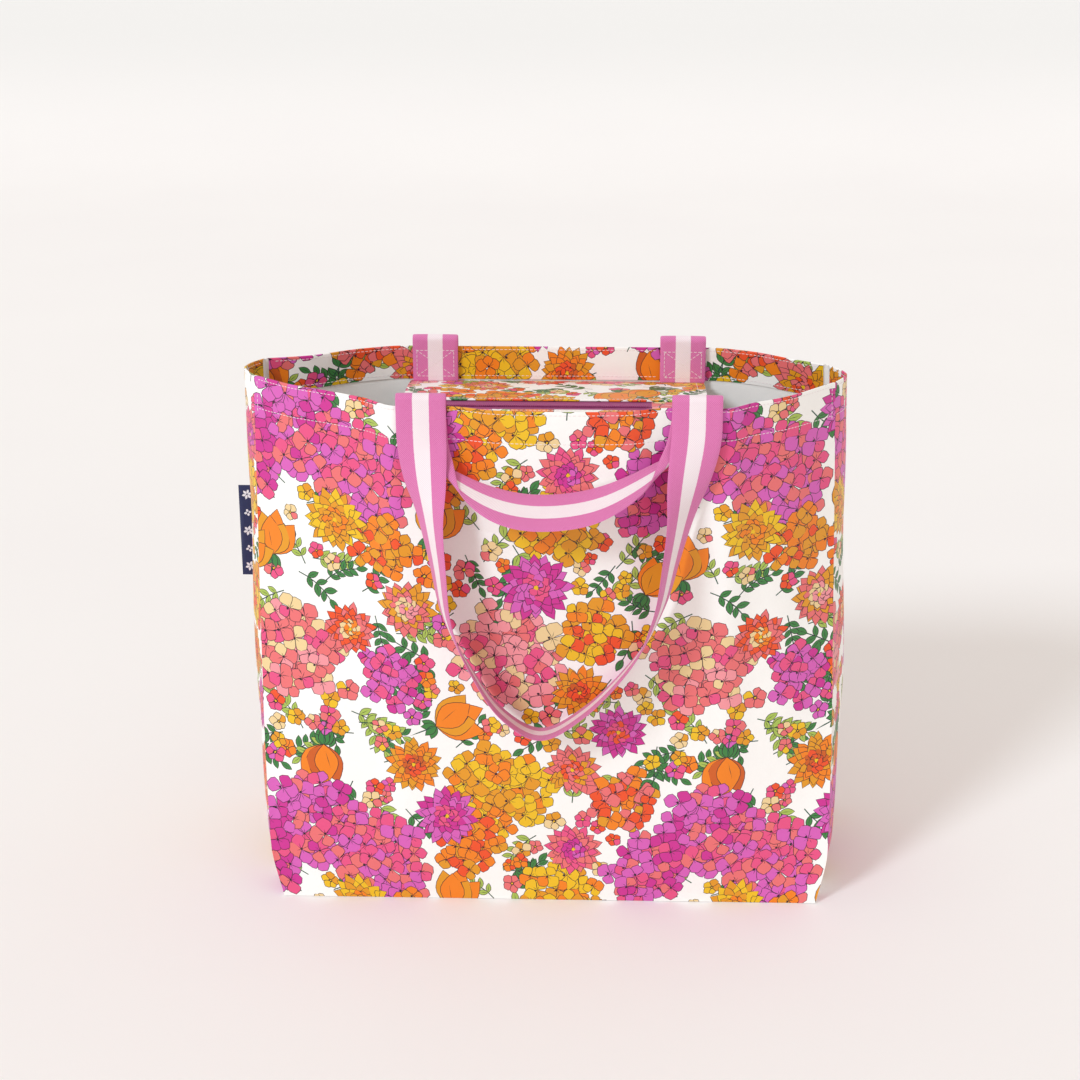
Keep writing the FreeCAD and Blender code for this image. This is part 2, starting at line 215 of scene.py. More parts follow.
def printedClothFinish():  # laminated cotton: printed colour, faint weave under a soft film with small creases
    look = Finish("printedCloth", Specular_IOR_Level=0.42, Sheen_Weight=0.04, Coat_Roughness=0.4)
    place = look.object()
    ink = look.node("Attribute", {"attribute_name": "print"}, {})
    weave = look.noise(look.object((1000, 1000, 400)), 1.4, 2.0)
    clouds = look.noise(place, 0.012, 3.0)
    base = look.mix(0.05 * weave, ink, colour(120, 90, 100), "MULTIPLY")
    base = look.mix((clouds - 0.5).size() * 0.12, base, colour(226, 196, 190), "MULTIPLY")
    creases = look.noise(place, 0.035, 4.0, 0.55)
    dents = look.node("TexVoronoi", {"feature": "SMOOTH_F1"}, {"Vector": place, "Scale": 0.028, "Smoothness": 0.6})
    normal = look.bump(creases + 0.6 * dents, 0.22, 0.004)
    normal = look.bump(weave, 0.12, 0.00012, normal)
    look.feed(Base_Color=base, Roughness=0.46 + 0.12 * (clouds - 0.5) + 0.05 * weave, Normal=normal)
    look.put(look.shader.inputs["Coat Weight"], 0.08)
    return look.material


def webbingFinish():  # cotton webbing in three equal stripes, with a fine diagonal twill and fuzzy stripe edges
    look = Finish("stripedWebbing", Sheen_Weight=0.25, Sheen_Roughness=0.5, Specular_IOR_Level=0.25)
    u, v = look.uvParts()
    place = look.object()
    fuzz = look.noise(place, 0.9, 3.0, 0.7)
    across = v + 0.02 * (fuzz - 0.5)
    white = (across - 0.5).size().over(0.158, 0.172)
    rib = (2 * math.pi * (u / 1.35 + v * 26)).sine()
    cross = (2 * math.pi * (u / 1.35 - v * 26)).sine()
    twill = 0.5 + 0.35 * rib + 0.15 * cross
    tone = look.noise(place, 0.06, 2.0)
    pink = look.mix(twill, colour(196, 82, 146), colour(233, 136, 192))
    pink = look.mix(0.35 * (fuzz * 1.2 - 0.1), pink, colour(240, 160, 208))
    pale = look.mix(twill, colour(236, 216, 224), colour(255, 250, 250))
    base = look.mix(white, pale, pink)
    base = look.mix(0.2 * tone, base, colour(235, 190, 212), "MULTIPLY")
    height = twill + 0.8 * fuzz
    look.feed(Base_Color=base, Roughness=0.78 + 0.14 * twill, Normal=look.bump(height, 0.55, 0.0003))
    return look.material


def wovenFinish(name, dark, light, pitch, strength=0.5, rough=0.7):  # plain tape: two shades in a fine over and under
    look = Finish(name, Specular_IOR_Level=0.3, Sheen_Weight=0.1)
    split = look.node("SeparateXYZ", {}, {0: look.object()})
    x, y, z = split, Flow(look, split.socket.node.outputs[1]), Flow(look, split.socket.node.outputs[2])
    over = (2 * math.pi * (x + z) / pitch).sine() * (2 * math.pi * (y - 0.6 * z) / pitch).sine()
    fuzz = look.noise(look.object(), 0.8, 3.0)
    shade = 0.5 + 0.35 * over + 0.4 * (fuzz - 0.5)
    look.feed(Base_Color=look.mix(shade, dark, light), Roughness=rough + 0.1 * shade, Normal=look.bump(over + fuzz, strength, 0.0002))
    return look.material


def plainFinish(name, dark, light, rough, grain, height, **sockets):  # a moulded, spun or enamelled surface
    look = Finish(name, **sockets)
    spots = look.noise(look.object(), grain, 3.0)
    look.feed(Base_Color=look.mix(spots, dark, light), Roughness=rough + 0.15 * (spots - 0.5), Normal=look.bump(spots, 0.35, height))
    return look.material


def labelFinish():  # woven satin label: the motif is in the print, the ribs run across
    look = Finish("wovenLabel", Specular_IOR_Level=0.4, Sheen_Weight=0.15)
    split = look.node("SeparateXYZ", {}, {0: look.object()})
    ribs = (2 * math.pi * Flow(look, split.socket.node.outputs[2]) / 0.55).sine()
    ink = look.node("Attribute", {"attribute_name": "print"}, {})
    fuzz = look.noise(look.object(), 1.2, 2.0)
    base = look.mix(0.16 + 0.1 * ribs + 0.12 * fuzz, ink, colour(70, 84, 140), "SCREEN")
    look.feed(Base_Color=look.mix(0.35, ink, base), Roughness=0.5 + 0.1 * fuzz, Normal=look.bump(ribs + fuzz, 0.5, 0.00015))
    return look.material


finishes = {
    "cloth": printedClothFinish(),
    "webbing": webbingFinish(),
    "binding": wovenFinish("whiteBinding", colour(222, 216, 214), colour(250, 247, 245), 1.1),
    "tape": wovenFinish("zipTape", colour(120, 28, 84), colour(190, 70, 140), 1.3, 0.7, 0.6),
    "coil": plainFinish("zipCoil", colour(150, 40, 108), colour(196, 80, 150), 0.34, 0.7, 0.0001, Specular_IOR_Level=0.5),
    "metal": plainFinish("zipMetal", colour(150, 34, 100), colour(190, 66, 138), 0.3, 0.25, 0.00005, Metallic=0.55, Coat_Weight=0.4),
    "thread": plainFinish("thread", colour(226, 206, 210), colour(252, 244, 242), 0.6, 1.6, 0.0001, Sheen_Weight=0.2),
    "label": labelFinish(),
}
print("finishes made")

printLook = {  # the flowers on one repeat of the cloth; places and sizes in millimetres from its lower left corner
    "repeat": 300.0,
    "seed": 7,
    "line": 0.46,
    "step": 10.0,
    "inks": {
        "ground": (252, 249, 246), "line": (40, 15, 34), "stem": (24, 78, 58),
        "orchid": (216, 94, 184), "pink": (232, 80, 132), "coral": (234, 112, 114), "magenta": (206, 44, 146),
        "blush": (242, 150, 158), "beige": (238, 208, 152), "yellow": (238, 190, 20), "gold": (228, 152, 22),
        "orange": (242, 130, 14), "flame": (238, 80, 30), "rust": (206, 92, 20), "green": (58, 128, 62), "lime": (168, 192, 84),
    },
    "heads": [  # round heads of many four-petalled florets: x, y, radius, floret size, inks
        (33, 60, 43, 10.5, "orchid pink orchid coral magenta"), (86, 33, 40, 10.5, "orchid pink orchid coral pink"),
        (288, 28, 33, 10.0, "orchid magenta pink coral"), (26, 194, 41, 10.5, "coral blush beige pink coral"),
        (188, 204, 45, 10.5, "coral blush beige pink blush"), (222, 8, 33, 10.0, "yellow gold yellow orange"),
        (178, 92, 42, 10.5, "yellow gold yellow orange"), (250, 222, 26, 9.5, "orange flame gold yellow"),
        (152, 48, 28, 9.5, "orange flame gold orange"), (98, 284, 25, 9.5, "orange flame orange gold"),
        (272, 86, 27, 9.5, "orange flame coral gold"), (98, 182, 25, 9.0, "orchid magenta orchid pink"),
    ],
    "dahlias": [  # x, y, radius, inks of the outer and of the inner petals
        (62, 296, 23, "yellow gold", "orange gold"), (208, 258, 26, "orchid magenta", "pink orchid"),
        (232, 44, 22, "coral pink", "orchid magenta"), (238, 176, 21, "orange gold", "flame rust"),
        (266, 144, 21, "orchid magenta", "pink flame"), (114, 112, 22, "orange gold", "flame rust"),
        (137, 70, 24, "magenta orchid", "pink magenta"), (232, 112, 21, "coral gold", "coral flame"),
        (114, 238, 22, "gold coral", "blush beige"), (70, 214, 20, "flame coral", "orange beige"),
    ],
    "cups": [  # big cupped flowers: x, y, size, way they face, inks
        (12, 262, 16, 1.4, "orange gold"), (134, 292, 17, 1.2, "orange gold"), (132, 144, 18, 0.4, "orange gold"),
        (46, 122, 16, -1.7, "orange rust"), (286, 252, 15, 0.9, "gold orange"),
    ],
    "blossoms": ["orange flame", "pink coral", "yellow gold", "orchid pink", "beige coral", "flame pink", "gold beige", "yellow coral"],
}


def petal(length, width, widest, count=10):  # half its width = width / 2 * sin(pi * a ** widest), a from root to tip; anticlockwise
    a = np.linspace(0, 1, count // 2 + 1)
    half = width / 2 * np.sin(np.pi * a ** widest)
    return np.concatenate([np.c_[a, -half], np.c_[a, half][-2:0:-1]]) * (length, 1)


def turned(outline, angle, x, y):
    c, s = math.cos(angle), math.sin(angle)
    return outline @ np.array([[c, s], [-s, c]]) + (x, y)


class Drawing:  # shapes laid one over another, each a fill with a thin dark line round it
    def __init__(self, look):
        self.look = look
        self.shapes = []
        self.taken = []
        self.chance = np.random.default_rng(look["seed"])

    def pick(self, inks):
        inks = inks.split() if isinstance(inks, str) else inks
        return inks[self.chance.integers(len(inks))]

    def about(self, low, high):
        return self.chance.uniform(low, high)

    def add(self, outline, ink, line=True):
        if line:
            way = unit(np.roll(outline, -1, 0) - np.roll(outline, 1, 0))
            self.shapes.append((outline + np.c_[way[:, 1], -way[:, 0]] * self.look["line"], "line"))
        self.shapes.append((outline, ink))

    def rib(self, x, y, angle, start, end):  # a fine line down a petal
        self.shapes.append((turned(petal(end - start, 0.42, 1, 4) + (start, 0), angle, x, y), "line"))

    def floret(self, x, y, size, inks, petals=4, widest=1.35):
        first = self.about(0, 2 * math.pi)
        for k in range(petals):
            length = size * self.about(0.85, 1.12)
            angle = first + k * 2 * math.pi / petals + self.chance.normal(0, 0.12)
            width = length * self.about(0.86, 1.12) * (4 / petals) ** 0.55
            self.add(turned(petal(length, width, widest * self.about(0.9, 1.12)), angle, x, y), self.pick(inks))
            if size > 8:
                self.rib(x, y, angle + 0.05, 0, length * self.about(0.25, 0.5))
        self.shapes.append((turned(petal(size * 0.2, size * 0.2, 1, 6), first, x - size * 0.1, y), "line"))

    def head(self, x, y, radius, size, inks):  # florets on a sunflower spiral, laid in a mixed order
        count = int((radius / size) ** 2 * 1.75)
        k = np.arange(count)
        far = radius * np.sqrt((k + 0.5) / count) * 0.86
        angle = k * 2.39996 + self.about(0, 6)
        for i in self.chance.permutation(count):
            dx, dy = self.chance.normal(0, size * 0.16, 2)
            self.floret(x + far[i] * math.cos(angle[i]) + dx, y + far[i] * math.sin(angle[i]) + dy, size * self.about(0.85, 1.15), inks)

    def dahlia(self, x, y, radius, outer, inner, rings=5):  # rings of pointed petals, each shorter and laid on the last
        for k in range(rings):
            count = int(16 - 2 * k)
            first = self.about(0, 6)
            for j in range(count):
                length = radius * (1 - k / (rings + 0.3)) * self.about(0.9, 1.08)
                angle = first + j * 2 * math.pi / count + self.chance.normal(0, 0.05)
                self.add(turned(petal(length, radius * (0.34 - 0.02 * k), 1.5), angle, x, y), self.pick(outer if k < 3 else inner))
        self.add(turned(petal(radius * 0.14, radius * 0.13, 1, 6), 0, x - radius * 0.07, y), "yellow")

    def blossom(self, x, y, size, inks):
        self.floret(x, y, size, inks, 5, 1.45)
        self.shapes.append((turned(petal(size * 0.42, size * 0.42, 1, 8), 0, x - size * 0.21, y), "line"))
        self.shapes.append((turned(petal(size * 0.22, size * 0.22, 1, 6), 0, x - size * 0.11, y), "yellow"))

    def sprig(self, x, y, angle, length, ink, pairs, bend):  # a bent stem with pairs of pointed leaves
        way = angle + bend * np.linspace(0, 1, pairs + 2)
        step = np.c_[np.cos(way), np.sin(way)]
        stem = (x, y) + np.cumsum(step, 0) * length / (pairs + 2)
        side = np.c_[-step[:, 1], step[:, 0]] * 0.42
        self.shapes.append((np.concatenate([stem - side, (stem + side)[::-1]]), "stem"))
        for i in range(1, pairs + 2):
            for lean in ((-0.85, 0.85) if i <= pairs else (0,)):
                long = length * 0.25 * self.about(0.85, 1.15)
                self.add(turned(petal(long, long * 0.46, 0.95), way[i] + lean, *stem[i]), ink)
                self.rib(*stem[i], way[i] + lean, 0, long * 0.8)

    def cup(self, x, y, size, angle, inks):
        for lean in (-0.8, 0.8, -0.35, 0.35):
            self.add(turned(petal(size * 0.62, size * 0.3, 0.9), angle + math.pi + lean, x, y), "green")
        self.shapes.append((turned(petal(size * 1.2, 1.1, 1, 6), angle + math.pi, x, y), "stem"))
        a, b = inks.split()
        for lean, grow, ink in ((-0.46, 1.0, a), (0.46, 0.98, b), (0.04, 1.1, a), (-0.22, 0.84, b), (0.24, 0.9, a)):
            self.add(turned(petal(size * 1.95 * grow, size * 1.1, 0.95, 14), angle + lean, x, y), ink)
            self.rib(x, y, angle + lean + 0.12, size * 0.3, size * 1.3 * grow)

    def room(self, x, y):  # how far a place is from what is drawn, across the repeat's edges too
        spots = np.array(self.taken)
        gap = np.abs(spots[:, :2] - (x, y)) % self.look["repeat"]
        gap = np.minimum(gap, self.look["repeat"] - gap)
        return (np.hypot(gap[:, 0], gap[:, 1]) - spots[:, 2]).min()

    def everything(self):
        look, chance = self.look, self.chance
        self.taken = [k[:3] for k in look["heads"] + look["dahlias"]]
        self.taken += [(x + 0.9 * s * math.cos(w), y + 0.9 * s * math.sin(w), s * 1.15) for x, y, s, w, inks in look["cups"]]
        blossoms, sprigs = [], []
        for x, y in chance.uniform(0, look["repeat"], (6000, 2)):
            size = self.about(5.6, 9.2)
            if self.room(x, y) < size * 0.42:
                continue
            if chance.uniform() < 0.6:
                blossoms.append((x, y, size, self.pick(look["blossoms"])))
                self.taken.append((x, y, size * 0.85))
            else:
                sprigs.append((x, y, self.about(0, 6.28), self.about(30, 42), self.pick("green green lime"), int(self.about(3, 5)), self.about(-0.8, 0.8)))
                self.taken.append((x, y, size * 1.35))
        layers = (self.sprig, sprigs), (self.blossom, blossoms), (self.cup, look["cups"]), (self.head, look["heads"]), (self.dahlia, look["dahlias"])
        for kind, rows in layers:
            for row in rows:
                kind(*row)
        return self.shapes


def triangulate(points, edges, faces, kind=0, close=1e-5):
    made = delaunay_2d_cdt([Vector(p) for p in np.asarray(points).tolist()], edges, faces, kind, close, True)
    return np.array([tuple(p) for p in made[0]]), made


def visibleShapes(shapes, inks, repeat):  # what shows of the shapes on one repeat: points, triangles and their inks
    names = list(inks)
    points, faces, ink = [], [], []
    for outline, name in shapes:
        for dx in (-repeat, 0, repeat):
            for dy in (-repeat, 0, repeat):
                moved = outline + (dx, dy)
                if (moved.min(0) < repeat).all() and (moved.max(0) > 0).all():
                    faces.append(list(range(len(points), len(points) + len(moved))))
                    points.extend(moved.tolist())
                    ink.append(names.index(name))
    square = [(0, 0), (repeat, 0), (repeat, repeat), (0, repeat)]
    edges = [(len(points) + i, len(points) + (i + 1) % 4) for i in range(4)]
    flat, made = triangulate(points + square, edges, faces)
    triangles = np.array(made[2])
    ink = np.array(ink)
    top = np.array([ink[max(owners)] if owners else 0 for owners in made[5]])  # the last shape drawn is on top
    middle = flat[triangles].mean(1)
    keep = ((middle > 0) & (middle < repeat)).all(1)
    triangles, top = triangles[keep], top[keep]

    # only the edges between two inks, or on the repeat's border, are kept
    sides = np.concatenate([triangles[:, [0, 1]], triangles[:, [1, 2]], triangles[:, [2, 0]]])
    owner = np.tile(np.arange(len(triangles)), 3)
    sides = np.sort(sides, 1)
    order = np.lexsort((sides[:, 1], sides[:, 0]))
    sides, owner = sides[order], owner[order]
    same = (sides[1:] == sides[:-1]).all(1)
    first = np.flatnonzero(same)
    differ = top[owner[first]] != top[owner[first + 1]]
    lonely = np.ones(len(sides), bool)
    lonely[first] = lonely[first + 1] = False
    lines = np.concatenate([sides[first[differ]], sides[lonely]])

    # a point in the middle of a straight run goes: each half edge is followed to the next kept point
    half = np.concatenate([lines, lines[:, ::-1]])
    half = half[np.lexsort((half[:, 1], half[:, 0]))]
    start = np.searchsorted(half[:, 0], np.arange(len(flat) + 1))
    pair = np.diff(start) == 2
    a = flat[half[np.minimum(start[:-1], len(half) - 1), 1]]
    b = flat[half[np.minimum(start[:-1] + 1, len(half) - 1), 1]]
    chord = b - a
    off = np.abs(chord[:, 0] * (flat - a)[:, 1] - chord[:, 1] * (flat - a)[:, 0]) / (np.linalg.norm(chord, axis=1) + 1e-9)
    straight = pair & (off < 0.02) & (((flat - a) * (b - flat)).sum(1) > 0)
    following = np.arange(len(half))
    through = straight[half[:, 1]]
    out = start[half[:, 1]]
    out = np.where(half[np.minimum(out, len(half) - 1), 1] == half[:, 0], out + 1, out)
    following[through] = out[through]
    for _ in range(12):
        following = following[following]
    runs = np.c_[half[:, 0], half[following, 1]][~straight[half[:, 0]]]
    runs = np.unique(np.sort(runs[runs[:, 0] != runs[:, 1]], 1), axis=0)

    used, renumbered = np.unique(runs, return_inverse=True)
    steps = np.arange(1, int(repeat / printLook["step"])) * printLook["step"]
    inner = np.stack(np.meshgrid(steps, steps), -1).reshape(-1, 2)
    kept, again = triangulate(np.concatenate([flat[used], inner]), renumbered.reshape(-1, 2).tolist(), [], 0, 0.01)
    fine = np.array(again[2])
    tree = BVHTree.FromPolygons(np.c_[flat, np.zeros(len(flat))].tolist(), triangles.tolist())
    middle = np.c_[kept[fine].mean(1), np.ones(len(fine))]
    found = [tree.ray_cast(p, (0, 0, -1))[2] for p in middle.tolist()]
    return kept, fine, np.array([0 if i is None else top[i] for i in found])


repeatPoints, repeatFaces, repeatInks = visibleShapes(Drawing(printLook).everything(), printLook["inks"], printLook["repeat"])
print("print drawn:", len(repeatFaces), "triangles in one repeat")


def cutCloth(corners, shift, folds=()):  # the print inside a convex outline, with rows of edges along each fold (point, way across)
    repeat = printLook["repeat"]
    corners, shift = np.array(corners, float), np.array(shift, float)
    low, high = corners.min(0), corners.max(0)
    points, faces, inks, count = [], [], [], 0
    for i in range(int((low[0] + shift[0]) // repeat), int((high[0] + shift[0]) // repeat) + 1):
        for j in range(int((low[1] + shift[1]) // repeat), int((high[1] + shift[1]) // repeat) + 1):
            moved = repeatPoints + (i * repeat, j * repeat) - shift
            own = moved[repeatFaces]
            near = ((own.max(1) > low) & (own.min(1) < high)).all(1)
            points.append(moved)
            faces.append(repeatFaces[near] + count)
            inks.append(repeatInks[near])
            count += len(moved)
    points, faces, inks = np.concatenate(points), np.concatenate(faces), np.concatenate(inks)
    used, faces = np.unique(faces, return_inverse=True)
    mesh = bpy.data.meshes.new("cutting")
    mesh.from_pydata(np.c_[points[used], np.zeros(len(used))].tolist(), [], faces.reshape(-1, 3).tolist())
    mesh.polygons.foreach_set("material_index", inks.astype(np.int32))
    cut = bmesh.new()
    cut.from_mesh(mesh)
    bpy.data.meshes.remove(mesh)
    for a, b in zip(corners, np.roll(corners, -1, 0)):
        way = b - a
        everything = cut.verts[:] + cut.edges[:] + cut.faces[:]
        bmesh.ops.bisect_plane(cut, geom=everything, dist=1e-4, plane_co=(*a, 0), plane_no=(way[1], -way[0], 0), clear_outer=True)
    for place, across in folds:
        everything = cut.verts[:] + cut.edges[:] + cut.faces[:]
        bmesh.ops.bisect_plane(cut, geom=everything, dist=1e-4, plane_co=(*place, 0), plane_no=(*across, 0))
    bmesh.ops.remove_doubles(cut, verts=cut.verts[:], dist=2e-3)
    cut.verts.index_update()
    flat = np.array([v.co[:2] for v in cut.verts])
    polygons = [[v.index for v in f.verts] for f in cut.faces]
    inks = [f.material_index for f in cut.faces]
    cut.free()
    return flat, polygons, inks


def backing(border, corners, folds, step):  # a coarse plain mesh with the same border points, and their new numbers
    flat, lines = border
    low, high = np.array(corners).min(0), np.array(corners).max(0)
    inner = np.stack(np.meshgrid(np.arange(low[0] + step / 2, high[0], step), np.arange(low[1] + step / 2, high[1], step)), -1).reshape(-1, 2)
    for place, across in folds:
        way = np.array([-across[1], across[0]])
        reach = np.arange(-600, 600, step)[:, None] * way + place
        inner = np.concatenate([inner, reach])
    c = np.array(corners, float)
    inside = np.ones(len(inner), bool)
    for a, b in zip(c, np.roll(c, -1, 0)):
        way = unit(b - a)
        inside &= (way[0] * (inner - a)[:, 1] - way[1] * (inner - a)[:, 0]) > step * 0.2
    made, again = triangulate(np.concatenate([flat, inner[inside]]), lines.tolist(), [], 1, 1e-4)
    number = np.full(len(flat), -1)
    for new, olds in enumerate(again[3]):
        for old in olds:
            if old < len(flat):
                number[old] = new

    # slivers outside the border go: those with a border edge the wrong way round, and those beyond them
    triangles, many = np.array(again[2]), len(made)
    right = number[lines[:, 0]] * many + number[lines[:, 1]]
    wrong = number[lines[:, 1]] * many + number[lines[:, 0]]
    for _ in range(50):
        sides = triangles[:, [0, 1, 1, 2, 2, 0]].reshape(-1, 3, 2)
        hit = np.isin(sides[..., 0] * many + sides[..., 1], wrong).any(1)
        if not hit.any():
            break
        beyond = sides[hit].reshape(-1, 2)
        beyond = beyond[:, 1] * many + beyond[:, 0]
        wrong = np.concatenate([wrong, beyond[~np.isin(beyond, right)]])
        triangles = triangles[~hit]
    return made, triangles, number


def clothPiece(name, corners, place, shift=(0, 0), depth=0.0, thick=None, folds=(), step=9.0):  # place(s, t, depth) shapes the flat cut
    thick = bag["cloth"] if thick is None else thick
    flat, faces, inks = cutCloth(corners, shift, folds)
    runs = np.array([(a, b) for f in faces for a, b in zip(f, f[1:] + f[:1])])
    count = len(flat)
    lone = ~np.isin(runs[:, 0] * count + runs[:, 1], runs[:, 1] * count + runs[:, 0])
    border = runs[lone]
    ids = np.unique(border)
    lines = np.searchsorted(ids, border)
    back, triangles, number = backing((flat[ids], lines), corners, folds, step)
    match = dict(zip(ids.tolist(), (number + count).tolist()))
    sides = [[b, a, match[a], match[b]] for a, b in border.tolist()]
    backFaces = (triangles[:, ::-1] + count).tolist()
    points = np.concatenate([place(flat[:, 0], flat[:, 1], np.full(count, depth)), place(back[:, 0], back[:, 1], np.full(len(back), depth + thick))])
    palette = np.array(list(printLook["inks"].values())) / 255
    white = np.tile(palette[0], (len(sides) + len(backFaces), 1))
    colours = np.concatenate([palette[np.array(inks)], white])
    return makeMesh(name, points, faces + sides + backFaces, finishes["cloth"], colours)


def wallBase(side, share, t):  # across the mouth the wall follows the rim's outline, and it spreads evenly to the straight foot
    rim = bag["frontRim"] if side < 0 else bag["backRim"]
    y = lerp(side * bag["halfDepth"], smoothLine(rim, lerp(rim[0][0], rim[-1][0], (share + 1) / 2)), t / bag["height"])
    return np.stack([smoothLine(bag["sway"], t) + share * smoothLine(bag["seams"][side], t), y, t], -1)


wallLook = {"waves": 1.3, "seamRidge": 0.5, "foot": 0.35}


def wallOut(side, share, t):  # soft waves that die away at the seams, the foot and the hem, and a ridge where a seam is turned
    s = share * bag["halfWidth"]
    calm = ease((1 - np.abs(share)) / 0.16) * ease(t / 40) * ease((352 - t) / 60)
    waves = (np.sin(s / 47 + 0.8 * side + t / 130) * np.sin(t / 88 + 0.6) + 0.6 * np.sin(s / 23 - t / 61 + side) * np.sin(t / 47 + s / 150))
    low = 1.6 * np.exp(-((t - 26) / 20) ** 2) * np.sin(s / 31 + 1.2 * side) * ease(t / 12)
    ridge = np.exp(-((1 - np.abs(share)) * bag["halfWidth"] / 2.2) ** 2) * ease((395 - t) / 30)
    return wallLook["waves"] * calm * waves + low * ease((1 - np.abs(share)) / 0.1) + wallLook["seamRidge"] * ridge


def onWall(side, share, t, depth):  # a point of the wall, moved along its normal by its waves and by depth inward
    t = np.clip(t, wallLook["foot"], None)
    h = 1e-3
    along = wallBase(side, share + h, t) - wallBase(side, share - h, t)
    up = wallBase(side, share, t + h * 100) - wallBase(side, share, t - h * 100)
    out = unit(np.cross(along, up)) * -side
    return wallBase(side, share, t) + out * (wallOut(side, share, t) - depth)[:, None]


def foldOver(t, depth, top, radius):  # cloth that runs up to a fold and back down: height, depth, and 0 outside to 1 inside
    length = math.pi * radius
    past = t - (top - radius)
    turn = np.clip(past / length, 0, 1) * math.pi
    r = radius - depth
    height = np.where(past < 0, t, np.where(turn < math.pi, top - radius + r * np.sin(turn), top - radius - (past - length)))
    inward = np.where(past < 0, depth, radius - r * np.cos(turn))
    return height, inward, np.clip(past / length, 0, 1)


def wallCloth(side):  # s runs to the right of someone facing the wall; the top folds in as the hem
    def place(s, t, depth):
        height, inward, turned = foldOver(t, depth, bag["height"], bag["foldRadius"])
        share = -side * s / bag["halfWidth"] * (1 - 0.011 * ease(turned))
        return onWall(side, share, height, inward)
    return place


def gussetBase(side, share, t):  # straight from the front seam (0) to the back seam (1), bowed out to the crease between them
    one = np.full(np.shape(t), float(side))
    front, back = wallBase(-1, one, t), wallBase(1, one, t)
    seams = (smoothLine(bag["seams"][-1], t) + smoothLine(bag["seams"][1], t)) / 2
    out = smoothLine(bag["creases"], t) - seams
    bow = 0.72 * 4 * share * (1 - share) + 0.28 * np.maximum(1 - np.abs(2 * share - 1), 0) ** 0.9
    point = front + (back - front) * share[:, None]
    point[:, 0] += side * out * bow
    return point


def onGusset(side, share, t, depth):
    t = np.clip(t, wallLook["foot"], None)
    h = 1e-3
    deep = gussetBase(side, share + h, t) - gussetBase(side, share - h, t)
    up = gussetBase(side, share, t + 0.1) - gussetBase(side, share, t - 0.1)
    out = unit(np.cross(deep, up)) * side
    calm = ease(share / 0.2) * ease((1 - share) / 0.2) * ease(t / 40) * ease((352 - t) / 80)
    waves = 1.4 * np.sin(t / 42 + 3 * share) * np.sin(5 * share + t / 120)
    return gussetBase(side, share, t) + out * (calm * waves - depth)[:, None]


def gussetDepth(t):  # straight from the foot to the rim, and on into the hem
    return lerp(2 * bag["halfDepth"], bag["backRim"][0][1] - bag["frontRim"][0][1], t / bag["height"])


def gussetCloth(side):  # s runs to the right of someone facing the gusset, from 0 at its middle
    def place(s, t, depth):
        height, inward, turned = foldOver(t, depth, bag["height"], bag["foldRadius"])
        share = 0.5 + side * s / gussetDepth(t) * (1 - 0.12 * ease(turned))
        return onGusset(side, np.clip(share, 0, 1), height, inward)
    return place


hemRows = [((0, bag["height"] + k), (0, 1)) for k in (-bag["foldRadius"], -0.4, 0, 0.45, 0.9, 1.35, 1.85)]
top = bag["height"] + bag["hem"] + 0.3
half = bag["halfWidth"]
wallCorners = [(-half, wallLook["foot"]), (half, wallLook["foot"]), (half, top), (-half, top)]

frontWall = clothPiece("front_wall_cloth", wallCorners, wallCloth(-1), (half, 0), folds=hemRows)
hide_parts("front_panel", "hem_front")
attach(frontWall, "front_wall")
backWall = clothPiece("back_wall_cloth", wallCorners, wallCloth(1), (130, 0), folds=hemRows)
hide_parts("back_panel", "hem_back")
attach(backWall, "bag_body")
print("walls cut and folded:", len(frontWall.data.polygons), "faces in the front one")


def leanBlend(piece):  # the piece's placement is baked into its points; it is tied to no body
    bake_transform(piece)


for side, name in ((-1, "left"), (1, "right")):
    low, high = gussetDepth(wallLook["foot"]) / 2, gussetDepth(top) / 2
    corners = [(-low, wallLook["foot"]), (low, wallLook["foot"]), (high, top), (-high, top)]
    gusset = clothPiece("gusset_cloth_" + name, corners, gussetCloth(side), (210 if side < 0 else 90, 0), folds=hemRows)
    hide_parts("gusset_" + name, "hem_" + name)
    leanBlend(gusset)
print("sides cut")


baseLook = {"halfX": 200.4, "bow": 204.4, "halfY": 88.6, "thick": 1.0}
bowed = np.linspace(-1, 1, 9)
edgeX = baseLook["bow"] - (baseLook["bow"] - baseLook["halfX"]) * bowed ** 2
baseCorners = [(x, y) for x, y in zip(edgeX, bowed * baseLook["halfY"])] + [(-x, -y) for x, y in zip(edgeX, bowed * baseLook["halfY"])]
base = clothPiece("base_cloth", baseCorners, lambda s, t, depth: np.stack([s + bag["sway"][0][1], -t, depth], -1), (200, 60), thick=baseLook["thick"], step=20)
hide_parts("base_panel")
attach(base, "bag_body")


zipLook = {"top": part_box("zip_tape_front")[1][2] * 1000, "middle": -8.0, "half": 13.0, "start": -104.0, "end": 72.0, "flap": 114.0,
           "flapRise": 1.6, "cut": 80.0, "under": 7.0, "root": 362.5}


def flapCloth(side):  # from just under the hem the strip arches to its fold along the zip, and turns under there
    def place(s, t, depth):
        run, down, turned = foldOver(t, depth, zipLook["cut"], 0.62)
        share = run / zipLook["cut"]
        x = -side * s
        root = np.full(len(s), zipLook["root"])
        reach = (x - smoothLine(bag["sway"], root)) / smoothLine(bag["seams"][side], root)
        wall = wallBase(side, reach, root)[:, 1] - side * 1.9
        y = lerp(wall, zipLook["middle"] + side * zipLook["half"], share)
        arch = 1 - (1 - share) ** 2
        ripple = 0.35 * np.sin(x / 17 + side) * np.sin(math.pi * np.clip(share, 0, 1))
        return np.stack([x, y, lerp(zipLook["root"], zipLook["top"] + zipLook["flapRise"], arch) + ripple - down], -1)
    return place


